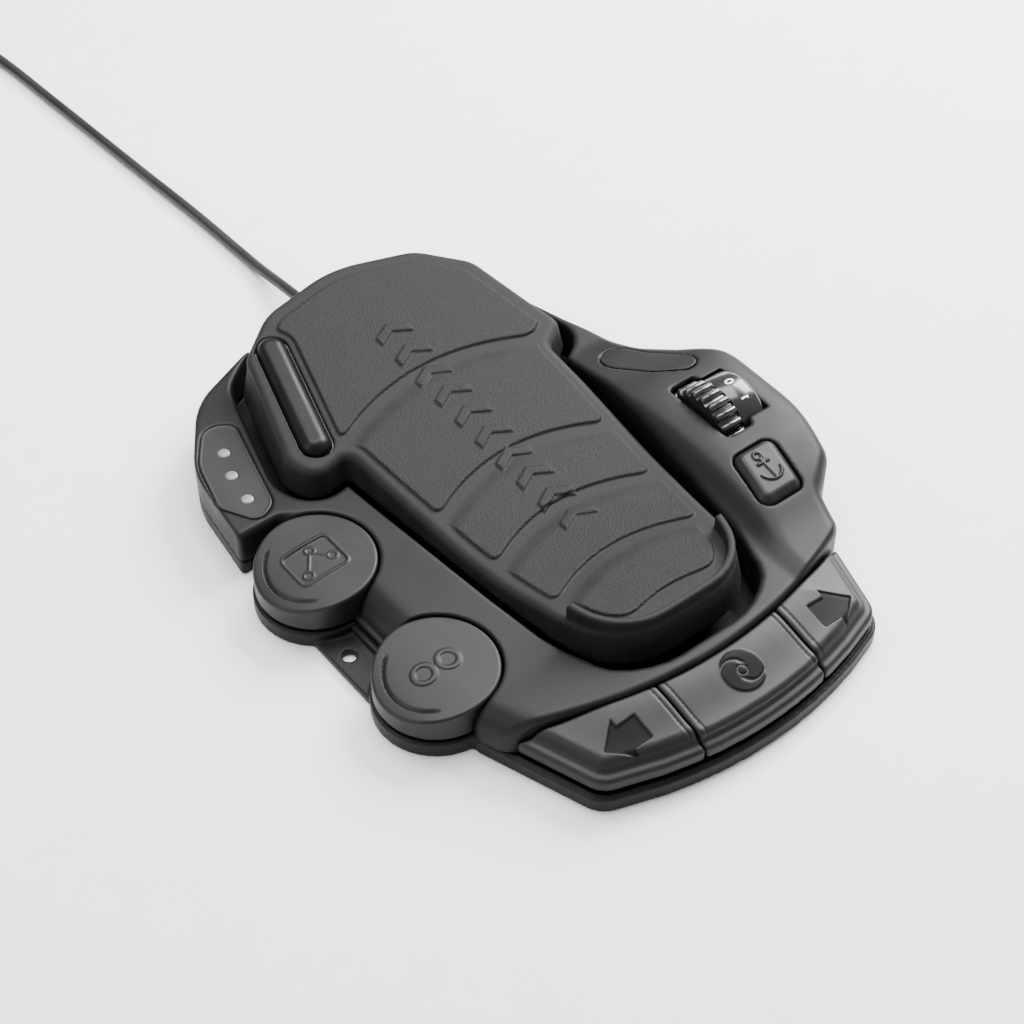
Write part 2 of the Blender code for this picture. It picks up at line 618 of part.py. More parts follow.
def speed_wheel():
    axis = (0, WHEEL_Y, WHEEL_Z)
    ribs = 22
    outline = []
    for k in range(ribs):
        for radius, part in ((WHEEL_R - 1.6, 0.0), (WHEEL_R - 1.6, 0.34), (WHEEL_R, 0.46),
                             (WHEEL_R, 0.88)):
            angle = 2 * math.pi * (k + part) / ribs
            outline.append(Vector((radius * math.cos(angle), radius * math.sin(angle))))
    drum = make("speed_wheel", moved(prism(outline, *WHEEL_X), axis, "X"), origin=axis, **GLOSSY)
    cut(drum, rod(axis, 2.5 + GAP, 70, 110, "X"))
    low, high = DIAL_X
    dial = [(2.5 + GAP, low), (DIAL_R, low), (DIAL_R, high - 1), (DIAL_R - 1, high),
            (2.5 + GAP, high)]
    make("speed_dial", moved(turned(dial, 32), axis, "X"), origin=axis, **GLOSSY)
    make("wheel_axle", moved(turned([(0, 71), (2.5, 71), (2.5, 111), (0, 111)], 20), axis, "X"),
         origin=axis, **STEEL)
    pot = [(0, 111.4), (5.5, 111.4), (5.5, 116.6), (0, 116.6)]
    make("speed_sensor", moved(turned(pot, 24), axis, "X"), **INNER)


# ---------------------------------------------------------------- inside and fasteners

def inside():
    board = make("circuit_board", prism(rounded([(-42, 16, 3), (42, 16, 3), (42, 56, 3),
                                                 (-42, 56, 3)]), 6, 7.6),
                 (0.02, 0.12, 0.05), 0.4)
    weld(board, block((-12, 28, 7), (6, 44, 9.4)), block((18, 30, 7), (30, 38, 9)),
         block((-34, 30, 7), (-22, 42, 11)))
    heel_switch_tower("toe_switch", 26, 96, 22)
    heel_switch_tower("heel_switch", 20, -92, 18)
    for number, place in enumerate(BASE_SCREWS, 1):
        screw = [(0, 0.3), (3, 0.3), (3, 1.5), (1.4, 1.5), (1.4, 11), (0, 11.8)]
        make(f"base_screw_{number}", moved(turned(screw, 12), (*place, 0)), **STEEL)
    for number, place in enumerate(FEET, 1):
        foot = [(0, 0), (5.5, 0), (6, 0.5), (6, 1.0), (0, 1.0)]
        make(f"rubber_foot_{number}", moved(turned(foot, 14), (*place, 0)), (0.02, 0.02, 0.02), 0.8)


# ---------------------------------------------------------------- cable

def tube(name, points):
    """A round cable along a smooth curve through points in mm."""
    line_points = smooth3(points, 4.5)
    data = bpy.data.curves.new(name, "CURVE")
    data.dimensions = "3D"
    data.bevel_depth = CABLE_R * MM
    data.bevel_resolution = 2
    data.use_fill_caps = True
    line = data.splines.new("POLY")
    line.points.add(len(line_points) - 1)
    for place, point in zip(line_points, line.points):
        point.co = (*(place * MM), 1)
    thing = bpy.data.objects.new(name, data)
    bpy.context.scene.collection.objects.link(thing)
    material = bpy.data.materials.new(name)
    material.use_nodes = True
    surface = material.node_tree.nodes["Principled BSDF"]
    surface.inputs["Base Color"].default_value = (0.03, 0.03, 0.032, 1)
    surface.inputs["Roughness"].default_value = 0.55
    data.materials.append(material)


def smooth3(points, step):
    points = [Vector(p) for p in points]
    ends = [2 * points[0] - points[1]] + points + [2 * points[-1] - points[-2]]
    curve = []
    for a, b, c, d in zip(ends, ends[1:], ends[2:], ends[3:]):
        count = max(1, round((c - b).length / (step * CABLE_R)))
        for k in range(count):
            t = k / count
            curve.append(
                (2 * b + (c - a) * t + (2 * a - 5 * b + 4 * c - d) * t * t
                 + (3 * b - a - 3 * c + d) * t ** 3) / 2
            )
    return curve + [points[-1]]


def cable():
    gland = [(0, 147.8), (6.2, 147.8), (6.2, 149.2), (GLAND_NECK_R, 149.2),
             (GLAND_NECK_R, 153.9), (5.8, 153.9), (5.8, 157), (3.5, GLAND_END_Y),
             (0, GLAND_END_Y)]
    make("cable_gland", moved(turned(gland, 24), (GLAND_X, 0, GLAND_Z), "Y"), **SOFT)
    lay = CABLE_R + 0.05
    edge_x = COIL[0] + COIL_MID_R + (COIL_ROWS - 1) * CABLE_R
    end_y = COIL[1] - 26
    tube("cable", [(GLAND_X, GLAND_END_Y + GAP, GLAND_Z), (-1.9, 175, 9.2), (-1.7, 187, 7.6),
                   (-1.5, 200, 5.4), (-1.3, 212, 3.6), (-1.2, 224, lay), (-3, 270, lay),
                   (-5.7, 310, lay), (-8.8, 360, lay), (-11.6, 405, lay),
                   (-13.8, 440, lay), (edge_x, end_y, COIL_LIFT + CABLE_R)])
    half_width = COIL_ROWS * CABLE_R
    height = COIL_LAYERS * 2 * CABLE_R
    inner, outer = COIL_MID_R - half_width, COIL_MID_R + half_width
    bottom, top = COIL_LIFT, COIL_LIFT + height
    ring = [(inner, bottom + 2), (inner + 2, bottom), (outer - 2, bottom), (outer, bottom + 2),
            (outer, top - 2), (outer - 2, top), (inner + 2, top), (inner, top - 2)]
    make("cable_coil", moved(turned(ring, 36), (*COIL, 0)), **SOFT)
    tie_gap = 0.4
    tie_t = 1.0
    tie_half = 6.0
    x_in = math.sqrt(inner ** 2 - tie_half ** 2) - tie_gap
    x_out = outer + tie_gap
    tie = make("cable_tie", block(
        (COIL[0] - x_out - tie_t, COIL[1] - tie_half, 0),
        (COIL[0] - x_in + tie_t, COIL[1] + tie_half, top + tie_gap + tie_t)), **SOFT)
    cut(tie, block((COIL[0] - x_out, COIL[1] - 10, tie_t),
                   (COIL[0] - x_in, COIL[1] + 10, top + tie_gap)))
    plug_y = COIL[1] + 36
    tail_x = COIL[0] + outer + 3.4
    tube("cable_tail", [(tail_x, COIL[1] + 3, 9.8), (tail_x + 0.5, COIL[1] + 12, 9.5),
                        (tail_x + 1.2, COIL[1] + 20, 9.0), (tail_x + 2, plug_y - 6, PLUG_Z),
                        (tail_x + 2, plug_y - GAP, PLUG_Z)])
    plug = [(0, 0), (3.6, 0), (5, 14), (7.5, 15), (8, 17), (8, 34), (7, 35), (7, 46), (0, 46)]
    make("cable_plug", moved(turned(plug, 24), (tail_x + 2, plug_y, PLUG_Z), "Y"), **GLOSSY)


def main():
    for thing in list(bpy.data.objects):
        bpy.data.objects.remove(thing)
    base_plate()
    housing()
    panels()
    tread_cover()
    pedal_frame()
    momentary_button()
    rocker()
    spring("toe_spring", (0, 72), FLOOR_T + GAP, 31.3, 6, 0.9, 5)
    spring("heel_spring", (0, -72), FLOOR_T + GAP, 26.2, 6, 0.9, 5)
    round_button("nav", NAV)
    round_button("con", CON)
    heel_buttons()
    anchor_button()
    speed_wheel()
    inside()
    cable()


main()
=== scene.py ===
"""Looks of the wired foot pedal: moulded skins, raised marks, cable and studio around the frame."""
import math

import bpy
import numpy as np
from mathutils import Matrix, Vector


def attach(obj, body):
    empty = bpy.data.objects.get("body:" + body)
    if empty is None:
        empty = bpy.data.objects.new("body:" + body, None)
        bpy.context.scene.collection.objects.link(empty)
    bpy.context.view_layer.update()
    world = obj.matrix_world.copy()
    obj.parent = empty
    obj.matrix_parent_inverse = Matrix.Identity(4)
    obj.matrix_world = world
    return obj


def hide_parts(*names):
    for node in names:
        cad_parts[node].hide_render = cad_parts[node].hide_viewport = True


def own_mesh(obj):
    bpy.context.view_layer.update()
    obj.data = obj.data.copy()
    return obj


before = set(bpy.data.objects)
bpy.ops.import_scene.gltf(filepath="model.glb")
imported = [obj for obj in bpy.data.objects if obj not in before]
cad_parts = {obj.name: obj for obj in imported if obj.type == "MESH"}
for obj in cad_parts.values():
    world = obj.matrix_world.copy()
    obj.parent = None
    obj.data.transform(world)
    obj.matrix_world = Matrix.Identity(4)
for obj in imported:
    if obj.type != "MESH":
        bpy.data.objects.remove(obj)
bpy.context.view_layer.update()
MM = 0.001
COARSE = 1.0

# ---------------------------------------------------------------- shared sizes, in mm

NAV, CON = (-102.0, 12.0), (-96.5, -67.5)
CAP_R, CAP_BOTTOM, CAP_TOP = 27.2, 10.0, 24.5
FLANGE_R = 28.3
RIM_Z, HOUSING_Z, DECK_Z, TOE_WALL_Z = 8.0, 8.3, 25.0, 16.0
HEEL_Y, HEEL_BOW = -170.0, 394.0
PADS_Y, PADS_BOW, PAD_SPLIT_X, PAD_GAP = -134.0, 400.0, 33.0, 0.8
TAB = (-119.5, -98.0, -50.0, -8.0)
TAB_T, TAB_HOLE, TAB_HOLE_R = 3.8, (-112.3, -26.0), 3.25
SKIRT_Z, FLARE_Z, FLARE, WELL_GAP = 19.5, 36.0, 0.2, 8.0
WHEEL_Y, WHEEL_Z, WHEEL_R, DIAL_R = -32.0, 25.2, 21.4, 19.6
WHEEL_X, DIAL_X = (79.0, 90.8), (91.0, 104.8)
ANCHOR = (79.0, -77.0)
CABLE_R, GLAND_X, GLAND_Z, GLAND_END_Y = 2.75, -2.0, 9.6, 166.0
COIL, COIL_MID_R, COIL_ROWS, COIL_LAYERS, COIL_LIFT = (-70.0, 500.0), 38.0, 6, 4, 1.4
PLUG_Z, PLUG_Y = 8.1, COIL[1] + 36
TAIL_X = COIL[0] + COIL_MID_R + COIL_ROWS * CABLE_R + 3.4
SHARP_EDGE = 38        # degrees
CAPSULE_ENDS, CAPSULE_R = ((-67, 61), (-52, 117)), 7.0
LEDS = ((-97.5, 90.5), (-102.5, 76.5), (-105, 60))


# ---------------------------------------------------------------- outlines

def rounded(corners, out=0.0, steps=7):
    """An outline from corners (x, y) or (x, y, radius), counter-clockwise, moved out by out mm."""
    moved = []
    for i, corner in enumerate(corners):
        here = Vector(corner[:2])
        before = (here - Vector(corners[i - 1][:2])).normalized()
        after = (Vector(corners[(i + 1) % len(corners)][:2]) - here).normalized()
        normal = Vector((before.y + after.y, -before.x - after.x)).normalized()
        bend = before.x * after.y - before.y * after.x
        radius = corner[2] if len(corner) == 3 else 0
        if radius:
            radius = max(radius + out * math.copysign(1, bend), 0.4)
        side = Vector((before.y, -before.x))
        moved.append((here + normal * out / normal.dot(side), radius))
    outline = []
    for i, (here, radius) in enumerate(moved):
        if not radius:
            outline.append(here)
            continue
        to_last = (moved[i - 1][0] - here).normalized()
        to_next = (moved[(i + 1) % len(corners)][0] - here).normalized()
        half = to_last.angle(to_next) / 2
        centre = here + (to_last + to_next).normalized() * radius / math.sin(half)
        start = here + to_last * radius / math.tan(half) - centre
        end = here + to_next * radius / math.tan(half) - centre
        turn = math.copysign(1, start.x * end.y - start.y * end.x)
        for k in range(steps + 1):
            spin = Matrix.Rotation(turn * (math.pi - 2 * half) * k / steps, 2)
            outline.append(centre + spin @ start)
    return outline


def heel_line(x):
    return HEEL_Y + x * x / HEEL_BOW


BODY = (
    [(-79.5, heel_line(79.5), 14)]
    + [(x, heel_line(x)) for x in range(-52, 53, 13)]
    + [(75, heel_line(75), 14), (93.5, -97, 10), (110, -84, 16),
       (123.5, -48, 40), (124.5, -8, 24), (105, 12, 14), (95, 27, 20), (81, 67, 20),
       (73, 97, 24), (67, 121, 20), (46, 143, 26), (0, 156.7, 90), (-50, 143, 60),
       (-89.5, 126.5, 40), (-115, 89, 50), (-121, 43, 2), (-99, 43, 3), (-99, -99, 3)]
)
PEDAL = (
    [(-36.5, -115, 30), (36.5, -115, 30), (44.5, -82, 30), (48.5, -50, 60), (55, 20, 60),
     (56.5, 49, 5), (70.5, 58, 7), (60.5, 112, 16), (41, 133, 22), (0, 145.5, 60),
     (-42, 137.5, 30), (-65, 120, 12), (-83, 60, 12), (-78, 46, 8), (-57.5, 50, 6), (-55, 20, 60),
     (-48.5, -50, 60), (-44.5, -82, 30)]
)
LED_LEAF = [(-118, 63, 7), (-108, 45, 6), (-97, 51, 9), (-83.5, 103, 6), (-96, 111, 9),
            (-111, 91, 30)]
BLANK_LEAF = [(75.5, 31, 4), (75, 24, 8), (84, 6, 14), (95, -3.5, 4), (101, -3, 2.2),
              (88.5, 18, 20), (84, 30.5, 5)]
ANCHOR_LEAF = [(ANCHOR[0] + x, ANCHOR[1] + y, 5)
               for x, y in ((-14.5, -14.5), (8.5, -14.5), (14.5, 14.5), (-8.5, 14.5))]


def smooth(points, step):
    """A Catmull-Rom curve through points, read about every step."""
    points = [Vector(p) for p in points]
    ends = [2 * points[0] - points[1]] + points + [2 * points[-1] - points[-2]]
    curve = []
    for a, b, c, d in zip(ends, ends[1:], ends[2:], ends[3:]):
        count = max(1, round((c - b).length / step))
        for k in range(count):
            t = k / count
            curve.append((2 * b + (c - a) * t + (2 * a - 5 * b + 4 * c - d) * t * t
                          + (3 * b - a - 3 * c + d) * t ** 3) / 2)
    return curve + [points[-1]]


def reader(points):
    """A smooth height profile as a function of arrays."""
    line = np.array([tuple(p) for p in smooth(points, 1.5)], np.float32)
    return lambda v: np.interp(v, line[:, 0], line[:, 1]).astype(np.float32)


pedal_top = reader([(-132, 38.5), (-112, 38), (-85, 34.5), (-55, 30.5), (-30, 29.5), (0, 31.5),
                    (56, 36.5), (107, 43), (152, 49)])
deck_top = reader([(-200, 27.5), (-120, 27), (-90, 25.5), (-60, DECK_Z), (60, DECK_Z),
                   (200, DECK_Z)])
ridge_along = reader([(-200, 10), (-140, 25), (-112, 28.5), (-88, 35), (-60, 39), (-30, 39.5),
                      (-8, 38), (10, 33.5), (30, 27), (40, 22), (60, 8)])
ridge_across = reader([(30, 8), (46, 16), (56, 27), (62, 34.5), (68, 38.5), (76, 40.2),
                       (98, 40.5), (112, 39), (119.5, 34.5), (123, 27), (125, 16), (130, 8)])


# ---------------------------------------------------------------- fields

def outline_distance(outline, x, y):
    """Signed distance to an outline, negative inside."""
    points = np.array([(p[0], p[1]) for p in outline], np.float32)
    nearest = np.full(np.broadcast_shapes(x.shape, y.shape), 1e9, np.float32)
    inside = np.zeros(nearest.shape, bool)
    for (ax, ay), (bx, by) in zip(points, np.roll(points, -1, 0)):
        ex, ey = bx - ax, by - ay
        length = ex * ex + ey * ey
        if length < 1e-9:
            continue
        t = np.clip(((x - ax) * ex + (y - ay) * ey) / length, 0, 1)
        nearest = np.minimum(nearest, (x - ax - t * ex) ** 2 + (y - ay - t * ey) ** 2)
        if ay != by:
            inside ^= ((ay > y) != (by > y)) & (x < ex * (y - ay) / ey + ax)
    return np.where(inside, -1, 1) * np.sqrt(nearest)


def circle_distance(centre, radius, x, y):
    return np.hypot(x - centre[0], y - centre[1]) - radius


def segment_distance(a, b, x, y):
    ex, ey = b[0] - a[0], b[1] - a[1]
    t = np.clip(((x - a[0]) * ex + (y - a[1]) * ey) / (ex * ex + ey * ey), 0, 1)
    return np.hypot(x - a[0] - t * ex, y - a[1] - t * ey)


def both(a, b, radius):
    """What two solids share, its edge rounded."""
    corner = np.hypot(np.maximum(a + radius, 0), np.maximum(b + radius, 0))
    return np.minimum(np.maximum(a, b), -radius) + corner


def either(a, b, radius):
    """Two solids joined, with a fillet between them."""
    return -both(-a, -b, radius)


def higher(a, b, blend):
    h = np.clip(0.5 + 0.5 * (a - b) / blend, 0, 1)
    return b * (1 - h) + a * h + blend * h * (1 - h)


def lower(a, b, blend):
    return -higher(-a, -b, blend)


def ramp(low, high, v):
    t = np.clip((v - low) / (high - low), 0, 1)
    return t * t * (3 - 2 * t)


def stroke(distance, width, edge=0.35):
    """1 inside a line of the given width, falling to 0 across its edge."""
    return 1 - ramp(-edge, edge, distance - width / 2)


def skin(name, field, low, high, step):
    """A smooth closed mesh where the field is zero, by surface nets."""
    step *= COARSE
    x, y, z = [np.arange(a, b + step, step, dtype=np.float32) for a, b in zip(low, high)]
    values = np.array(field(x[:, None, None], y[None, :, None], z[None, None, :]), np.float32)
    inside = values < 0
    size = np.array(values.shape)
    offsets = [(i, j, k) for i in (0, 1) for j in (0, 1) for k in (0, 1)]
    count = np.zeros(size - 1, np.uint8)
    for i, j, k in offsets:
        count += inside[i:size[0] - 1 + i, j:size[1] - 1 + j, k:size[2] - 1 + k]
    active = (count > 0) & (count < 8)
    cells = np.argwhere(active)
    index = np.full(active.shape, -1, np.int32)
    index[active] = np.arange(len(cells))
    corner = {o: values[cells[:, 0] + o[0], cells[:, 1] + o[1], cells[:, 2] + o[2]]
              for o in offsets}
    total = np.zeros((len(cells), 3), np.float32)
    crossings = np.zeros(len(cells), np.float32)
    for a in offsets:
        for axis in range(3):
            if a[axis]:
                continue
            b = tuple(v + (n == axis) for n, v in enumerate(a))
            va, vb = corner[a], corner[b]
            hit = (va < 0) != (vb < 0)
            t = np.where(hit, va / np.where(hit, va - vb, 1), 0)
            place = np.array(a, np.float32) * np.ones((len(cells), 1), np.float32)
            place[:, axis] += t
            total += place * hit[:, None]
            crossings += hit
    points = (cells + total / crossings[:, None]) * step + np.array([x[0], y[0], z[0]])
    quads = []
    for axis in range(3):
        u, v = (axis + 1) % 3, (axis + 2) % 3
        cut_low = [slice(1, -1)] * 3
        cut_high = [slice(1, -1)] * 3
        cut_low[axis], cut_high[axis] = slice(0, -1), slice(1, None)
        here, there = inside[tuple(cut_low)], inside[tuple(cut_high)]
        at = np.argwhere(here != there)
        outward = here[tuple(at.T)]
        at[:, u] += 1
        at[:, v] += 1
        around = []
        for du, dv in ((-1, -1), (0, -1), (0, 0), (-1, 0)):
            cell = at.copy()
            cell[:, u] += du
            cell[:, v] += dv
            around.append(index[tuple(cell.T)])
        quad = np.stack(around, 1)
        quad[~outward] = quad[~outward][:, ::-1]
        quads.append(quad)
    return grid_object(name, points * MM, np.concatenate(quads))


def grid_object(name, points, quads):
    data = bpy.data.meshes.new(name)
    data.vertices.add(len(points))
    data.vertices.foreach_set("co", np.asarray(points, np.float32).ravel())
    data.loops.add(quads.size)
    data.loops.foreach_set("vertex_index", quads.astype(np.int32).ravel())
    data.polygons.add(len(quads))
    data.polygons.foreach_set("loop_start", np.arange(0, quads.size, 4, dtype=np.int32))
    data.update(calc_edges=True)
    data.shade_smooth()
    thing = bpy.data.objects.new(name, data)
    bpy.context.scene.collection.objects.link(thing)
    return thing


def mark(thing, name, value):
    """Stores a number on every point, from its x, y, z in mm."""
    data = thing.data
    co = np.zeros(len(data.vertices) * 3, np.float32)
    data.vertices.foreach_get("co", co)
    co = co.reshape(-1, 3) / MM
    layer = data.attributes.new(name, "FLOAT", "POINT")
    layer.data.foreach_set("value", value(co[:, 0], co[:, 1], co[:, 2]).astype(np.float32))


def lathe(name, profile, centre, axis, sides=64):
    """(radius, along) points turned about an axis through centre; closed at the axis."""
    angles = np.arange(sides) * 2 * math.pi / sides
    rings = []
    for radius, along in profile:
        ring = np.zeros((sides, 3))
        u, v = (axis + 1) % 3, (axis + 2) % 3
        ring[:, axis] = along
        ring[:, u] = radius * np.cos(angles)
        ring[:, v] = radius * np.sin(angles)
        rings.append(ring + np.array(centre))
    return rings_object(name, np.array(rings))


def rings_object(name, rings):
    """A skin over equal rings of points in mm, given as (ring, point, 3)."""
    count, sides = rings.shape[:2]
    quads = []
    for r in range(count - 1):
        for i in range(sides):
            j = (i + 1) % sides
            quads.append((r * sides + i, r * sides + j, (r + 1) * sides + j, (r + 1) * sides + i))
    thing = grid_object(name, rings.reshape(-1, 3) * MM, np.array(quads))
    thing.data.set_sharp_from_angle(angle=math.radians(SHARP_EDGE))
    return thing


# ---------------------------------------------------------------- materials

ICON_FILL = (0.004, 0.004, 0.004)
ICON_SPECULAR = 0.06

def finish(name, dark, light, rough, grain=0.05, size=0.0006, coat=0.0, metal=0.0, mottle=0.02,
           pad=False, spec=0.5, icon=False):
    """Moulded plastic, rubber or metal: cloudy colour, uneven gloss and a fine moulded grain."""
    material = bpy.data.materials.new(name)
    material.use_nodes = True
    tree = material.node_tree
    surface = tree.nodes["Principled BSDF"]
    surface.inputs["Metallic"].default_value = metal
    surface.inputs["Coat Weight"].default_value = coat
    surface.inputs["Specular IOR Level"].default_value = spec
    place = tree.nodes.new("ShaderNodeTexCoord")

    def noise(scale, detail):
        node = tree.nodes.new("ShaderNodeTexNoise")
        node.inputs["Scale"].default_value = scale
        node.inputs["Detail"].default_value = detail
        tree.links.new(place.outputs["Object"], node.inputs["Vector"])
        return node.outputs["Fac"]

    def spread(value, low, high, out_low, out_high):
        node = tree.nodes.new("ShaderNodeMapRange")
        node.inputs["From Min"].default_value = low
        node.inputs["From Max"].default_value = high
        node.inputs["To Min"].default_value = out_low
        node.inputs["To Max"].default_value = out_high
        tree.links.new(value, node.inputs["Value"])
        return node.outputs["Result"]

    cloud = noise(1 / mottle, 5)
    fine = noise(1 / size, 2)
    mix = tree.nodes.new("ShaderNodeMix")
    mix.data_type = "RGBA"
    mix.inputs["A"].default_value = (*dark, 1)
    mix.inputs["B"].default_value = (*light, 1)
    share = spread(cloud, 0.3, 0.7, 0, 1)
    blend = tree.nodes.new("ShaderNodeMath")
    blend.operation = "MULTIPLY_ADD"
    tree.links.new(spread(fine, 0.3, 0.7, -0.5, 0.5), blend.inputs[0])
    blend.inputs[1].default_value = 0.7
    tree.links.new(share, blend.inputs[2])
    blend.use_clamp = True
    tree.links.new(blend.outputs[0], mix.inputs["Factor"])
    colour = mix.outputs["Result"]
    if icon:
        layer = tree.nodes.new("ShaderNodeAttribute")
        layer.attribute_name = "icon"
        fill = tree.nodes.new("ShaderNodeMix")
        fill.data_type = "RGBA"
        fill.inputs["B"].default_value = (*ICON_FILL, 1)
        tree.links.new(layer.outputs["Fac"], fill.inputs["Factor"])
        tree.links.new(colour, fill.inputs["A"])
        colour = fill.outputs["Result"]
        tree.links.new(spread(layer.outputs["Fac"], 0, 1, spec, ICON_SPECULAR),
                       surface.inputs["Specular IOR Level"])
    tree.links.new(colour, surface.inputs["Base Color"])
    tree.links.new(spread(cloud, 0.25, 0.75, rough - 0.06, rough + 0.06),
                   surface.inputs["Roughness"])
    bump = tree.nodes.new("ShaderNodeBump")
    bump.inputs["Distance"].default_value = size / 2
    bump.inputs["Strength"].default_value = grain
    tree.links.new(fine, bump.inputs["Height"])
    if pad:
        layer = tree.nodes.new("ShaderNodeAttribute")
        layer.attribute_name = "pad"
        tree.links.new(spread(layer.outputs["Fac"], 0, 1, grain, 0.9), bump.inputs["Strength"])
    tree.links.new(bump.outputs["Normal"], surface.inputs["Normal"])
    return material


def paint(thing, material):
    data = thing.data
    if data.materials:
        data.materials[0] = material
    else:
        data.materials.append(material)
    return thing


def worn(thing, body, material, slot, *nodes):
    """A finished piece that stands for CAD nodes."""
    paint(thing, material)
    if nodes:
        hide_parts(*nodes)
    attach(thing, body)
    return thing


CASE = finish("case_satin", (0.006, 0.006, 0.007), (0.009, 0.009, 0.010), 0.46, 0.10, spec=0.16)
CAPS = finish("cap_satin", (0.008, 0.008, 0.009), (0.012, 0.012, 0.013), 0.44, 0.08, 0.0005,
              spec=0.22, icon=True)
TREAD = finish("tread_soft", (0.008, 0.008, 0.009), (0.014, 0.014, 0.015), 0.64, 0.16, 0.0008,
               mottle=0.012, pad=True, spec=0.16)
GLOSS = finish("key_gloss", (0.004, 0.004, 0.004), (0.006, 0.006, 0.006), 0.36, 0.03, spec=0.14)
WHEEL = finish("wheel_gloss", (0.009, 0.009, 0.009), (0.013, 0.013, 0.013), 0.22, 0.02, coat=0.3)
FILM = finish("overlay_film", (0.018, 0.018, 0.019), (0.022, 0.022, 0.023), 0.42, 0.05, 0.0004,
              spec=0.16)
LENS = finish("milky_lens", (0.13, 0.13, 0.128), (0.17, 0.17, 0.168), 0.3, 0.03, 0.0004)
INK = finish("white_ink", (0.80, 0.80, 0.80), (0.86, 0.86, 0.86), 0.5, 0.03, 0.0003)
BOARD = finish("solder_mask", (0.01, 0.09, 0.035), (0.015, 0.12, 0.05), 0.35, 0.03)
INNER = finish("inner_plastic", (0.07, 0.07, 0.075), (0.09, 0.09, 0.095), 0.55, 0.08)
BUSH = finish("acetal", (0.62, 0.60, 0.54), (0.70, 0.68, 0.62), 0.4, 0.03)
METAL = finish("plated_steel", (0.50, 0.50, 0.52), (0.62, 0.62, 0.64), 0.3, 0.04, metal=1.0)
RUBBER = finish("foot_rubber", (0.016, 0.016, 0.016), (0.026, 0.026, 0.026), 0.8, 0.3, 0.0008)
JACKET = finish("cable_jacket", (0.010, 0.010, 0.011), (0.015, 0.015, 0.016), 0.42, 0.06, spec=0.35)
STRAP = finish("strap_weave", (0.018, 0.018, 0.02), (0.035, 0.035, 0.037), 0.85, 0.6, 0.0009)


def paint_nodes():
    for name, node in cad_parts.items():
        if "screw" in name or "spring" in name or "axle" in name:
            material = METAL
        elif "foot" in name:
            material = RUBBER
        elif "board" in name:
            material = BOARD
        elif "tie" in name:
            material = STRAP
        else:
            material = INNER
        if "bush" in name:
            material = BUSH
        paint(node, material)


# ---------------------------------------------------------------- cable

def cable_route():
    """Points in mm: the lead on the floor and the coil, with the angle where the coil ends."""
    lay = CABLE_R + 0.05
    outer = COIL_MID_R + (COIL_ROWS - 1) * CABLE_R
    inner = COIL_MID_R - (COIL_ROWS - 1) * CABLE_R
    lead = [(GLAND_X, GLAND_END_Y + 0.3, GLAND_Z), (-1.9, 175, 9.2), (-1.7, 187, 7.6),
            (-1.5, 200, 5.4), (-1.3, 212, 3.6), (-1.2, 224, lay), (-3, 270, lay),
            (-5.7, 310, lay), (-8.8, 360, lay), (-11.6, 405, lay),
            (-13.8, 440, lay), (COIL[0] + outer, COIL[1] - 26, COIL_LIFT + CABLE_R)]
    route = smooth(lead, 9)
    turns_in = (outer - inner) / (2 * CABLE_R)
    step_up = 0.3
    layer_turns = turns_in + step_up
    total = COIL_LAYERS * layer_turns - step_up
    per_turn = 30
    for k in range(1, int(total * per_turn) + 1):
        turn = k / per_turn
        layer = min(int(turn / layer_turns), COIL_LAYERS - 1)
        part = turn - layer * layer_turns
        share = min(part / turns_in, 1)
        radius = outer - (outer - inner) * share
        if layer % 2:
            radius = outer + inner - radius
        z = COIL_LIFT + CABLE_R * (1 + 2 * layer) + 2 * CABLE_R * max(part - turns_in, 0) / step_up
        angle = 2 * math.pi * turn
        route.append(Vector((COIL[0] + radius * math.cos(angle),
                             COIL[1] + radius * math.sin(angle), z)))
    last = 2 * math.pi * int(total * per_turn) / per_turn
    return route, last


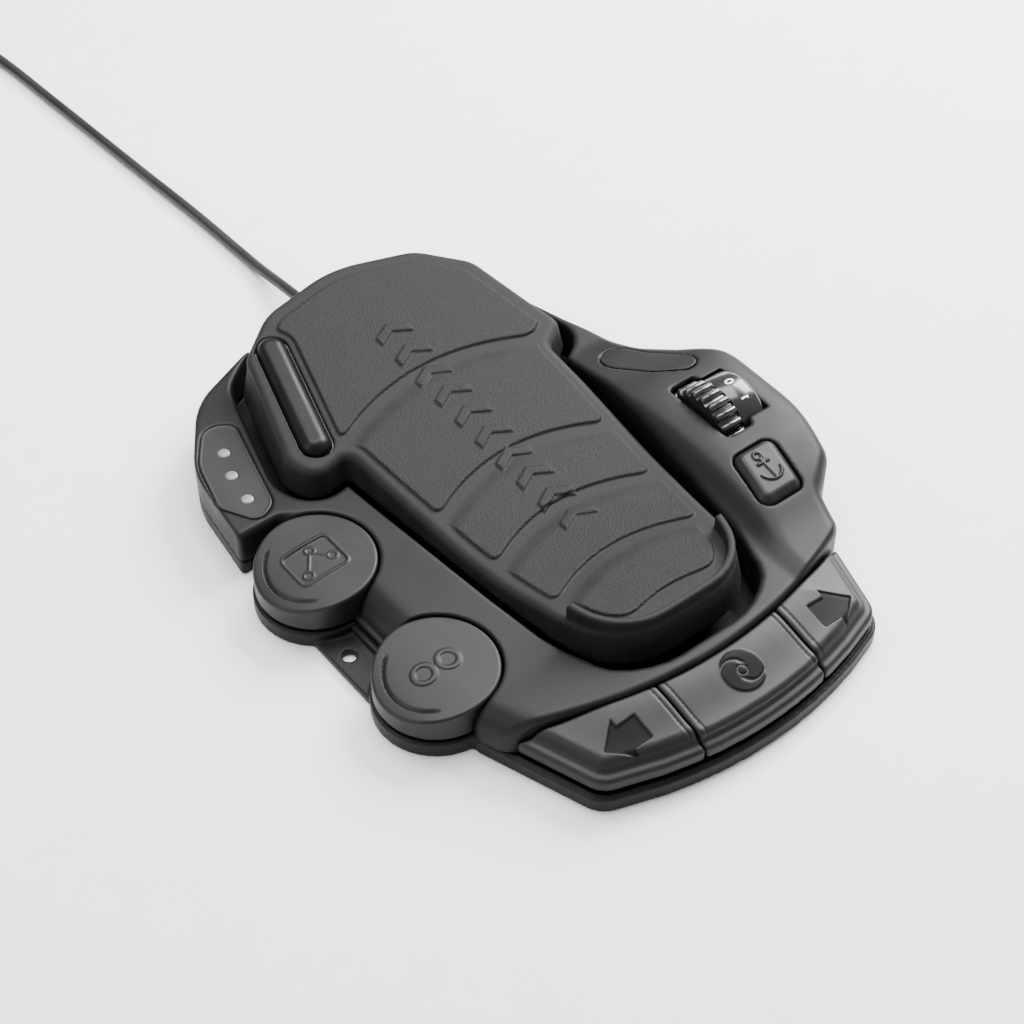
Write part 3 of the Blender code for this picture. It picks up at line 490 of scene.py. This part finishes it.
def make_cable():
    route, last = cable_route()
    end = [route[-1]]
    start_angle = last % (2 * math.pi)
    finish_angle = 2 * math.pi + 0.05
    z_from = route[-1].z
    r_from = (Vector(route[-1][:2]) - Vector(COIL)).length
    r_to = TAIL_X - COIL[0]
    if start_angle > math.pi * 1.9:
        finish_angle += 2 * math.pi
    for k in range(1, 9):
        t = k / 8
        angle = start_angle + (finish_angle - start_angle) * t
        soft = t * t * (3 - 2 * t)
        radius = r_from + (r_to - r_from) * min(soft * 1.6, 1)
        end.append(Vector((COIL[0] + radius * math.cos(angle), COIL[1] + radius * math.sin(angle),
                           z_from + (9.9 - z_from) * soft)))
    end += [Vector((TAIL_X + 1.2, COIL[1] + 20, 9.0)), Vector((TAIL_X + 2, PLUG_Y - 6, PLUG_Z)),
            Vector((TAIL_X + 2, PLUG_Y - 0.3, PLUG_Z))]
    route += smooth(end, 9)[1:]
    data = bpy.data.curves.new("lead", "CURVE")
    data.dimensions = "3D"
    data.bevel_depth = CABLE_R * MM
    data.bevel_resolution = 5
    data.use_fill_caps = True
    line = data.splines.new("POLY")
    line.points.add(len(route) - 1)
    for place, point in zip(route, line.points):
        point.co = (*(place * MM), 1)
    lead = bpy.data.objects.new("lead", data)
    bpy.context.scene.collection.objects.link(lead)
    worn(lead, "casing", JACKET, "cable_jacket", "cable", "cable_coil", "cable_tail")
    plug_x = TAIL_X + 2
    profile = [(0, 0), (3.3, 0), (3.6, 0.6), (3.9, 3), (3.5, 3.6), (3.5, 4.6), (4.2, 5), (4.3, 7),
               (3.9, 7.6), (3.9, 8.6), (4.6, 9), (4.8, 12), (5.2, 13.6), (7, 14.4), (7.5, 15.2),
               (7.9, 17), (7.9, 33), (7.5, 34), (7, 34.6), (6.8, 35.4), (6.8, 45.4), (6.3, 46),
               (5.4, 46), (5.4, 38), (0, 38)]
    plug = lathe("plug", profile, (plug_x, PLUG_Y, PLUG_Z), 1)
    worn(plug, "casing", GLOSS, "plug_plastic", "cable_plug")
    for n in range(4):
        angle = math.pi / 4 + n * math.pi / 2
        centre = (plug_x + 2.6 * math.cos(angle), PLUG_Y, PLUG_Z + 2.6 * math.sin(angle))
        pin = lathe(f"plug_pin_{n}", [(0, 37), (0.7, 37), (0.7, 44), (0.3, 44.8), (0, 44.8)],
                    centre, 1, 12)
        worn(pin, "casing", METAL, "screw_steel")
    gland = [(0, 150), (6.1, 150), (6.2, 154.1), (6.0, 157)]
    for n in range(3):
        start = 157.3 + n * 2.7
        radius = 5.4 - 0.65 * n
        gland += [(radius, start), (radius, start + 1.8), (radius - 0.7, start + 2.0),
                  (radius - 0.7, start + 2.6)]
    gland += [(3.4, GLAND_END_Y - 0.4), (3.3, GLAND_END_Y - 0.2), (3.0, GLAND_END_Y),
              (0, GLAND_END_Y)]
    worn(lathe("strain_relief", gland, (GLAND_X, 0, GLAND_Z), 1), "casing", JACKET, "cable_jacket",
         "cable_gland")


# ---------------------------------------------------------------- studio

WORLD_STRENGTH = 0.55
LAMPS = (                # name, place in metres, size, power
    ("overhead", (0.1, 0.4, 1.5), 1.1, 42),
    ("left", (-1.3, 0.3, 0.9), 0.9, 10),
    ("right", (1.15, 0.3, 0.95), 0.85, 78),
)
CAMERA_AT, CAMERA_AIM, CAMERA_LENS = (-0.4284, -0.5400, 0.7266), (-0.0035, 0, 0), 77.3
FLOOR_REACH = 6


def studio():
    world = bpy.data.worlds.new("studio")
    bpy.context.scene.world = world
    world.use_nodes = True
    world.node_tree.nodes["Background"].inputs["Color"].default_value = (1, 1, 1, 1)
    world.node_tree.nodes["Background"].inputs["Strength"].default_value = WORLD_STRENGTH
    reach = FLOOR_REACH
    corners = [(-reach, -reach, 0), (reach, -reach, 0), (reach, reach, 0), (-reach, reach, 0)]
    floor = grid_object("floor", np.array(corners), np.array([[0, 1, 2, 3]]))
    paint(floor, finish("pale_floor", (0.88, 0.88, 0.88), (0.91, 0.91, 0.91), 0.8, 0.0))
    for name, place, size, power in LAMPS:
        lamp = bpy.data.lights.new(name, "AREA")
        lamp.shape = "SQUARE"
        lamp.size = size
        lamp.energy = power
        holder = bpy.data.objects.new(name, lamp)
        holder.location = place
        aim = Vector((0, 0, 0)) - Vector(place)
        holder.rotation_euler = aim.to_track_quat("-Z", "Y").to_euler()
        bpy.context.scene.collection.objects.link(holder)
    lens = bpy.data.cameras.new("camera")
    lens.lens = CAMERA_LENS
    lens.sensor_width = 36
    camera = bpy.data.objects.new("camera", lens)
    camera.location = CAMERA_AT
    aim = Vector(CAMERA_AIM) - camera.location
    camera.rotation_euler = aim.to_track_quat("-Z", "Y").to_euler()
    bpy.context.scene.collection.objects.link(camera)
    bpy.context.scene.camera = camera


# ---------------------------------------------------------------- casing

def top_of_casing(x, y):
    ridge = lower(ridge_along(y), ridge_across(x), 6)
    return higher(deck_top(y), ridge, 7)


def pads_side(x, y, shift=0.0):
    """Signed distance to the line before the heel buttons, negative on their side."""
    slope = 2 * x / PADS_BOW
    return (y - PADS_Y - x * x / PADS_BOW - shift) / np.sqrt(1 + slope * slope)


def casing_field(x, y, z):
    body = outline_distance(rounded(BODY), x, y)
    top = top_of_casing(x, y)
    roll = ramp(-66, -82, x) * ramp(-128, -112, y) * ramp(46, 34, y)
    radius = 2.6 + 11.4 * roll + 3.5 * ramp(40, 70, x) * ramp(60, 30, y)
    radius = radius - 1.4 * ramp(-90, -100, x) * ramp(43, 50, y)
    solid = both(body, z - top, radius)
    solid = both(solid, -pads_side(x, y), 3.2)
    solid = np.maximum(solid, HOUSING_Z - z)
    outline = outline_distance(rounded(PEDAL, WELL_GAP), x, y)
    outline = outline - 3.0 * ramp(-100, -116, y)
    room = np.maximum(outline, np.minimum(TOE_WALL_Z - z, body + 2.5))
    solid = both(solid, -room, 2.4)
    for centre in (NAV, CON):
        solid = both(solid, -circle_distance(centre, CAP_R + 1, x, y), 0.9)
    slot = outline_distance(rounded([(WHEEL_X[0] - 1, WHEEL_Y - 20, 2.5),
                                     (WHEEL_X[1] + 1.4, WHEEL_Y - 20, 1.5),
                                     (WHEEL_X[1] + 3.4, WHEEL_Y - 15.5, 1.5),
                                     (DIAL_X[1] + 1.2, WHEEL_Y - 15.5, 3.5),
                                     (DIAL_X[1] + 1.2, WHEEL_Y + 15.5, 3.5),
                                     (WHEEL_X[1] + 3.4, WHEEL_Y + 15.5, 1.5),
                                     (WHEEL_X[1] + 1.4, WHEEL_Y + 20, 1.5),
                                     (WHEEL_X[0] - 1, WHEEL_Y + 20, 2.5)]), x, y)
    solid = both(solid, -np.maximum(slot, 27 - z), 1.2)
    from_axle = np.hypot(y - WHEEL_Y, z - WHEEL_Z)
    drum_room = np.maximum(from_axle - WHEEL_R - 1.0,
                           np.maximum(WHEEL_X[0] - 1 - x, x - WHEEL_X[1] - 1.4))
    dial_room = np.maximum(from_axle - DIAL_R - 0.7,
                           np.maximum(WHEEL_X[1] - x, x - DIAL_X[1] - 1.2))
    solid = np.maximum(solid, -np.minimum(drum_room, dial_room))
    key = outline_distance(rounded(ANCHOR_LEAF, 0.7), x, y)
    solid = both(solid, -np.maximum(key, 26.5 - z), 1.0)
    leaf = outline_distance(rounded(BLANK_LEAF, 3.5), x, y)
    solid = np.maximum(solid, -np.maximum(leaf, top - 1.3 - z))
    led = outline_distance(rounded(LED_LEAF, 0.4), x, y)
    solid = np.maximum(solid, -np.maximum(led, DECK_Z - 1.1 - z))
    ledge = np.maximum(np.abs(y + 29) - 17.5, np.maximum(-101.2 - x, x + 97))
    ledge = np.maximum(ledge, np.maximum(z - 11, HOUSING_Z - z))
    return np.minimum(solid, ledge)


def base_field(x, y, z):
    body = outline_distance(rounded(BODY), x, y)
    flanges = np.minimum(circle_distance(NAV, FLANGE_R, x, y), circle_distance(CON, FLANGE_R, x, y))
    around = either(body, flanges, 2.0)
    solid = both(both(around, z - RIM_Z, 1.2), -z, 0.5)
    heel = pads_side(x, y, -1)
    strip = both(np.maximum(body + 1.2, -body - 5), np.maximum(z - 8.6, 5 - z), 0.4)
    solid = np.minimum(solid, np.maximum(strip, heel))
    groove = np.maximum(np.abs(z - 7.9) - 0.5, np.maximum(-body - 1.8, heel))
    solid = np.maximum(solid, -groove)
    solid = np.maximum(solid, -np.maximum(around + 3, 3 - z))
    step = np.maximum(np.maximum(-103.6 - x, x + 97), np.maximum(np.abs(y + 29.5) - 17, z - 6.6))
    solid = np.minimum(solid, np.maximum(step, -z))
    tab = np.maximum(np.maximum(TAB[0] - x, x - TAB[1]), np.maximum(TAB[2] - y, y - TAB[3]))
    solid = either(solid, both(both(tab, z - TAB_T, 0.5), -z, 0.4), 0.8)
    solid = both(solid, -circle_distance(TAB_HOLE, TAB_HOLE_R, x, y), 0.4)
    return np.maximum(solid, -z)


# ---------------------------------------------------------------- tread

PAD_EDGES = ((56, 15), (-5, 14), (-41, 13), (-75, 11), (-109, 9))
PAD_WIDTHS = (56, 48.5, 44.7, 38.4, 30)
PAD_INSETS = (8.5, 5.5, 5.5, 5.5, 9.5)
PAD_HEIGHT, CHEVRON_HEIGHT, TREAD_DROP = 1.3, 0.95, 1.4
CHEVRONS = (94, 79, 64, 49, 34, 19, 4, -11, -26, -41)


def pad_edge(number, x):
    """Where a pad ends towards the heel, bowed towards the toe at the middle."""
    y, rise = PAD_EDGES[number]
    return y + rise * (1 - (x / PAD_WIDTHS[number]) ** 2)


def tread_relief(x, y, outline):
    """Height of the pads over the tread, and how grained each place is."""
    height = np.zeros(outline.shape, np.float32)
    for number in range(len(PAD_EDGES)):
        area = both(outline + PAD_INSETS[number], pad_edge(number, x) - y, 5.0)
        if number == 0:
            button = segment_distance(*CAPSULE_ENDS, x, y)
            area = both(area, 11.5 - button, 3.0)
            start = 1
        else:
            start = ramp(-5, -14, y - pad_edge(number - 1, x))
        height = np.maximum(height, (1 - ramp(-0.5, 0.4, area)) * start)
    return height


def bars(x, y):
    """Raised chevron bars down the middle of the tread."""
    bar = np.full(np.broadcast_shapes(x.shape, y.shape), 9.0, np.float32)
    for middle in CHEVRONS:
        bend = np.abs(x) * 0.55
        stripe = np.abs(y - middle - 3 + bend) * 0.88 - 2.3
        bar = np.minimum(bar, np.maximum(stripe, np.abs(x) - 9))
    return 1 - ramp(-0.35, 0.35, bar)


def tread_field(x, y, z):
    outline = outline_distance(rounded(PEDAL), x, y)
    side = (outline - FLARE * np.maximum(FLARE_Z - z, 0)) * 0.98
    top = pedal_top(y) - TREAD_DROP + PAD_HEIGHT * tread_relief(x, y, outline)
    top = top + CHEVRON_HEIGHT * bars(x, y)
    slope = 3.4 - 0.8 * ramp(-60, -100, y)
    solid = both(side, z - top, slope)
    wall = np.maximum(outline + 0.6, -outline - 4.0)
    cup = both(np.maximum(wall, y + 86), z - 41.3, 1.2)
    cup = np.maximum(cup, 30 - z)
    solid = either(solid, cup, 1.0)
    button = segment_distance(*CAPSULE_ENDS, x, y)
    solid = both(solid, CAPSULE_R + 1.0 - button, 1.2)
    solid = both(solid, SKIRT_Z - z, 0.8)
    return np.maximum(solid, -np.maximum(side + 3.0, z - pedal_top(y) + 4.4))


def momentary_field(x, y, z):
    button = segment_distance(*CAPSULE_ENDS, x, y) - CAPSULE_R
    return np.maximum(both(button, z - pedal_top(y) - 2.4, 5.6), pedal_top(y) - 9 - z)


# ---------------------------------------------------------------- buttons

def cap_top(centre, x):
    out = np.clip((centre[0] - x + 3) / 30, 0, 1)
    return CAP_TOP - 6.0 * out ** 1.8


def cap_field(centre, icon):
    def field(x, y, z):
        around = circle_distance(centre, 0, x, y)
        angle = np.abs(np.arctan2(y - centre[1], centre[0] - x))
        sweep = ramp(1.05, 0.85, angle)
        dip = ramp(20.6, 22.6, around) * (around < 22.6)
        top = cap_top(centre, x) - 1.1 * dip * sweep
        top = top + icon(x - centre[0], y - centre[1])
        solid = both(around - CAP_R, z - top, 1.3)
        solid = np.maximum(solid, CAP_BOTTOM - z)
        hollow = np.maximum(around - CAP_R + 2.4, z - cap_top(centre, x) + 2.9)
        return np.maximum(solid, -hollow)
    return field


def route_icon(x, y):
    """A rounded card with three joined rings."""
    card = outline_distance(rounded([(-12, -10, 3), (12, -10, 3), (12, 10, 3), (-12, 10, 3)]), x, y)
    rings = ((1, 5.5), (7.5, -2.5), (-7, -5.5))
    marks = stroke(np.abs(card), 1.1)
    for ring in rings:
        marks = np.maximum(marks, stroke(np.abs(circle_distance(ring, 2.1, x, y)), 0.9))
    for a, b in (((1.8, 3.2), (5.4, -0.7)), ((-0.4, 3.6), (-5.6, -3.5))):
        marks = np.maximum(marks, stroke(segment_distance(a, b, x, y), 0.9))
    return 0.5 * marks - 0.35 * (1 - ramp(-1.2, -0.4, card)) + 0.35


def loop_icon(x, y):
    """Two joined rings."""
    marks = stroke(np.abs(circle_distance((-6.2, 0), 4.6, x, y)), 2.2)
    marks = np.maximum(marks, stroke(np.abs(circle_distance((6.2, 0), 4.6, x, y)), 2.2))
    return 0.55 * marks


ARROWS = {-1: (-58.5, -143.5), 1: (55.0, -144.5)}


def arrow_outline(centre, way):
    shape = ((-11, 0), (0, -9.5), (0, -5.8), (9.5, -5.8), (9.5, 5.8), (0, 5.8), (0, 9.5))
    if way > 0:
        shape = tuple((-a, b) for a, b in shape[::-1])
    return [(centre[0] + a, centre[1] + b) for a, b in shape]


def swirl(x, y):
    """A disc with two curved blades cut into it, and a hub."""
    radius = np.hypot(x, y)
    angle = np.arctan2(y, x)
    blade = np.sin(angle - radius * 0.28)
    gap = stroke(np.abs(blade) * radius * 0.5, 1.3) * ramp(2.8, 3.4, radius)
    disc = 1 - ramp(-0.3, 0.4, radius - 9.5)
    hub = stroke(np.abs(radius - 2.2), 0.8)
    return disc * (0.55 - 0.5 * gap - 0.4 * hub)


def icon_fill(name):
    """Where a heel button's symbol is filled, for the colour."""
    way = {"left": -1, "right": 1}.get(name)

    def fill(x, y, z):
        if way:
            arrow = outline_distance(arrow_outline(ARROWS[way], way), x, y)
            share = 1 - ramp(-0.3, 0.3, arrow)
        else:
            share = ramp(0.1, 0.45, swirl(x - 1, y + 147.5))
        return share * (z > 20)
    return fill


def pad_field(x_low, x_high):
    middle = (x_low + x_high) / 2
    outer = abs(middle) > 1

    def field(x, y, z):
        body = outline_distance(rounded(BODY), x, y)
        inner = pads_side(x, y, -PAD_GAP)
        sides = np.maximum(x_low - x, x - x_high)
        depth = -body
        rise = 22.4 + 4.4 * ramp(8, 34, depth)
        if outer:
            way = 1 if middle > 0 else -1
            arrow = outline_distance(arrow_outline(ARROWS[way], way), x, y)
            rise = rise - 0.8 * (1 - ramp(-0.3, 0.3, arrow))
        else:
            rise = rise + swirl(x - 1, y + 147.5) - 0.1
        line = stroke(np.abs(sides + 3.0), 0.8) * (1 - ramp(-1, 1, 6 - depth))
        rise = rise - 0.55 * line
        main = both(body + (7.5 if outer else 6.5), z - rise, 4.6 if outer else 3.2)
        band = both(body + 2.2, z - 16.4 - 0.25 * (depth - 2), 1.8)
        solid = either(main, band, 2.2 if outer else 0.8)
        solid = both(solid, sides, 1.4)
        solid = both(solid, inner, 1.6)
        return np.maximum(solid, 11.2 - z)
    return field


def anchor_field(x, y, z):
    key = outline_distance(rounded(ANCHOR_LEAF), x, y)
    top = ridge_along(np.clip(y, -96, -60)) + 1.7
    u, v = x - ANCHOR[0], y - ANCHOR[1] - 0.5
    marks = stroke(np.abs(circle_distance((0, 6.6), 1.9, u, v)), 1.1)
    marks = np.maximum(marks, stroke(segment_distance((0, 4.6), (0, -6.6), u, v), 1.3))
    marks = np.maximum(marks, stroke(segment_distance((-3, 2.6), (3, 2.6), u, v), 1.2))
    arc = np.abs(circle_distance((0, -1.4), 5.6, u, v)) + 9 * ramp(-2.2, -1.0, v)
    marks = np.maximum(marks, stroke(arc, 1.2))
    bevel = (key + (z - top) + 3.0) * 0.72
    solid = both(both(key, z - top - 0.85 * marks, 0.8), bevel, 0.9)
    return np.maximum(solid, 29 - z)


def blank_field(x, y, z):
    leaf = outline_distance(rounded(BLANK_LEAF, 3.0), x, y)
    top = top_of_casing(x, y)
    return np.maximum(both(leaf, z - top - 0.1, 0.5), top - 1.2 - z)


def overlay_field(x, y, z):
    leaf = outline_distance(rounded(LED_LEAF), x, y)
    rim = stroke(np.abs(leaf + 0.7), 0.7)
    top = DECK_Z - 0.1 + 0.22 * rim
    solid = np.maximum(both(leaf, z - top, 0.3), DECK_Z - 1.0 - z)
    for centre in LEDS:
        solid = np.maximum(solid, -circle_distance(centre, 3.1, x, y))
    return solid


# ---------------------------------------------------------------- wheel

def make_wheel():
    ribs, parts = 22, 16
    angles = np.arange(ribs * parts) * 2 * math.pi / (ribs * parts)
    phase = (angles * ribs / (2 * math.pi)) % 1
    rib = np.sqrt(np.clip(1 - ((phase - 0.5) / 0.36) ** 2, 0, 1))
    low, high = WHEEL_X
    rings = []
    for along, shrink, depth in ((low, 1.6, 0.0), (low, 0.9, 0.55), (low + 0.5, 0.3, 0.85),
                                 (low + 1.3, 0, 1), (high - 1.3, 0, 1), (high - 0.5, 0.3, 0.85),
                                 (high, 0.9, 0.55), (high, 1.6, 0.0)):
        radius = WHEEL_R - 2.5 + 2.4 * rib * depth - shrink * 0.5
        rings.append(np.stack([np.full_like(angles, along), WHEEL_Y + radius * np.cos(angles),
                               WHEEL_Z + radius * np.sin(angles)], 1))
    centre = np.array((0, WHEEL_Y, WHEEL_Z))
    rings.insert(0, np.tile(centre + (low, 0, 0), (len(angles), 1)))
    rings.append(np.tile(centre + (high, 0, 0), (len(angles), 1)))
    drum = rings_object("ribbed_wheel", np.array(rings))
    worn(drum, "wheel", WHEEL, "wheel_plastic", "speed_wheel")
    low, high = DIAL_X
    profile = [(0, low), (DIAL_R - 0.4, low), (DIAL_R - 0.05, low + 0.5),
               (DIAL_R - 0.05, high - 2.2),
               (DIAL_R - 0.5, high - 0.9), (DIAL_R - 1.4, high), (0, high)]
    dial = lathe("dial", profile, (0, WHEEL_Y, WHEEL_Z), 0, 96)
    worn(dial, "wheel", WHEEL, "wheel_plastic", "speed_dial")
    middle = (low + high) / 2
    nought = [(1.9 * math.cos(t), 1.3 * math.sin(t)) for t in np.linspace(0, 2 * math.pi, 25)]
    one = [(-1.9, 0), (1.9, 0), (1.2, -0.9)]
    for name, line, tilt in (("dial_0", nought, 96), ("dial_1", one, 64)):
        digit(name, line, middle, math.radians(tilt))


def digit(name, line, middle, tilt):
    """A line drawn on the dial's rim; its u runs along X and its v around the rim."""
    half, lift = 0.42, 0.03
    line = [Vector((float(u), float(v))) for u, v in line]
    rings = []
    for n, here in enumerate(line):
        along = (line[min(n + 1, len(line) - 1)] - line[max(n - 1, 0)]).normalized()
        side = Vector((-along.y, along.x)) * half
        ring = []
        for place, height in ((here + side, -0.2), (here + side, lift), (here - side, lift),
                              (here - side, -0.2)):
            turn = math.pi - tilt - place.y / DIAL_R
            radius = DIAL_R + height
            ring.append((middle + place.x, WHEEL_Y + radius * math.cos(turn),
                         WHEEL_Z + radius * math.sin(turn)))
        rings.append(ring)
    worn(rings_object(name, np.array(rings)), "wheel", INK, "lens")


# ---------------------------------------------------------------- all of it

def round_marks():
    for name, centre in zip(("led_upper", "led_middle", "led_lower"), LEDS):
        profile = [(2.95, 20), (2.95, DECK_Z - 0.4)]
        profile += [(2.95 * math.cos(t), DECK_Z - 0.4 + 1.0 * math.sin(t))
                    for t in np.linspace(0.1, math.pi / 2, 8)]
        worn(lathe(f"{name}_dome", profile, (*centre, 0), 2, 32), "casing", LENS, "lens", name)


COIL_SPRINGS = (
    ("toe_spring", (0, 72), (3.3, 31.3), 6, 0.9, 5, "pedal_rock", 0.68),
    ("heel_spring", (0, -72), (3.3, 26.2), 6, 0.9, 5, "pedal_rock", 0.6),
    ("nav_spring", NAV, (9.3, 21.8), 5.6, 0.55, 4, "nav_press", 0.85),
    ("con_spring", CON, (9.3, 21.8), 5.6, 0.55, 4, "con_press", 0.85),
)


def make_springs():
    """Compression coils of round wire, wound between their low and high ends."""
    for node, centre, (low, high), radius, wire, turns, joint, keep in COIL_SPRINGS:
        share = np.linspace(0, 1, turns * 30 + 1)
        angle = 2 * math.pi * turns * share
        section = np.arange(10) * 2 * math.pi / 10
        reach = radius + wire * np.cos(section)
        height = (low + wire + (high - low - 2 * wire) * share)[:, None] + wire * np.sin(section)
        rings = np.stack([centre[0] + np.outer(np.cos(angle), reach),
                          centre[1] + np.outer(np.sin(angle), reach), height], 2)
        ends = [np.tile(ring.mean(0), (len(section), 1))[None] for ring in (rings[0], rings[-1])]
        coil = rings_object(f"{node}_wire", np.concatenate([ends[0], rings, ends[1]]))
        worn(coil, "casing", METAL, "spring_steel", node)
        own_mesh(coil)


def main():
    studio()
    paint_nodes()
    make_cable()
    low, high = (-124, -173, 7), (127, 160, 42)
    case = skin("casing_shell", casing_field, low, high, 0.75)
    worn(case, "casing", CASE, "case_plastic", "housing")
    base = skin("base_shell", base_field, (-133, -173, -1), (127, 160, 12), 0.75)
    worn(base, "casing", CASE, "case_plastic", "base_plate")
    tread = skin("tread_skin", tread_field, (-90, -122, 18), (78, 152, 48), 0.6)
    mark(tread, "pad", lambda x, y, z: tread_relief(x, y, outline_distance(rounded(PEDAL), x, y))
         * (z > pedal_top(y) - 1.6))
    worn(tread, "pedal", TREAD, "tread_rubber", "tread_cover")
    key = skin("momentary_key", momentary_field, (-76, 52, 26), (-43, 126, 48), 0.45)
    worn(key, "momentary", GLOSS, "momentary_plastic", "momentary_button")
    for name, body, centre, icon in (("nav", "nav", NAV, route_icon),
                                     ("con", "con", CON, loop_icon)):
        low = (centre[0] - 29, centre[1] - 29, 9)
        high = (centre[0] + 29, centre[1] + 29, 27)
        cap = skin(f"{name}_cap", cap_field(centre, icon), low, high, 0.35)
        worn(cap, body, CAPS, "button_plastic", f"{name}_button")
    edge = PAD_SPLIT_X + PAD_GAP / 2
    for name, body, x_low, x_high in (("left", "left_pad", -110, -edge),
                                      ("prop", "prop_pad", -edge + PAD_GAP, edge - PAD_GAP),
                                      ("right", "right_pad", edge, 110)):
        low = (max(x_low, -92) - 2, -172, 10)
        high = (min(x_high, 96) + 2, -98, 29)
        pad = skin(f"{name}_pad", pad_field(x_low, x_high), low, high, 0.45)
        mark(pad, "icon", icon_fill(name))
        worn(pad, body, CAPS, "button_plastic", f"{name}_button")
    anchor = skin("anchor_key", anchor_field, (60, -96, 28), (98, -58, 43), 0.35)
    worn(anchor, "anchor", CAPS, "button_plastic", "anchor_button")
    blank = skin("blank_leaf", blank_field, (66, -12, 18), (110, 40, 41), 0.4)
    worn(blank, "casing", CASE, "case_plastic", "blank_panel")
    leaf = skin("overlay_leaf", overlay_field, (-122, 38, 23), (-78, 114, 26.5), 0.3)
    worn(leaf, "casing", FILM, "led_overlay", "led_panel")
    round_marks()
    make_wheel()
    make_springs()
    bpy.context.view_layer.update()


main()
